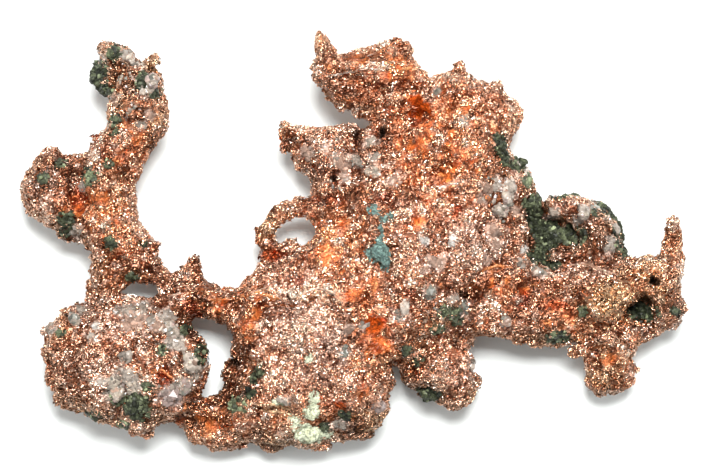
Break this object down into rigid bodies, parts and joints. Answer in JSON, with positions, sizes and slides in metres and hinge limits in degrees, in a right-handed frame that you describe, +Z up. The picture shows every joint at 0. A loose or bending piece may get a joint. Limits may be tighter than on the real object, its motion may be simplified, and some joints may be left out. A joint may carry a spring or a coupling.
{
  "type": "native copper nugget",
  "caption": "Flat-lying branching nugget of native copper with a crusty crystalline surface and grains of quartz and green chlorite grown into it.",
  "frame": {"origin": "on the resting plane, under the middle of the nugget's length and width", "axes": "+X along the longest extent, towards the end with the upright spike; +Y across it, towards the tips of the two northern arms; +Z up, through the thickness"},
  "size_m": [0.1108, 0.069, 0.0223],
  "materials": {
    "copper": "rough crystalline copper, bright edges and orange-red hollows",
    "quartz": "cloudy grey-white quartz, slightly see-through",
    "chlorite": "matt dark green",
    "chrysocolla": "matt blue-green",
    "pale_crust": "matt pale yellow-green"
  },
  "bodies": {
    "root": {"chlorite_arm_tip": "chlorite", "chlorite_boulder_south": "chlorite", "chlorite_east_pocket": "chlorite", "chlorite_pocket": "chlorite", "chlorite_rim": "chlorite", "chlorite_shoulder_inner": "chlorite", "chlorite_shoulder_outer": "chlorite", "chlorite_south_lobe": "chlorite", "chrysocolla_patch": "chrysocolla", "copper_mass": "copper", "pale_crust_edge": "pale_crust", "pale_crust_inner": "pale_crust", "quartz_arm_edge": "quartz", "quartz_arm_tip": "quartz", "quartz_boulder_centre": "quartz", "quartz_boulder_east": "quartz", "quartz_boulder_north": "quartz", "quartz_boulder_north_west": "quartz", "quartz_boulder_south": "quartz", "quartz_boulder_south_east": "quartz", "quartz_lobe_top": "quartz", "quartz_pocket_edge": "quartz", "quartz_round_pebble": "quartz", "quartz_saddle": "quartz"}
  },
  "joints": []
}
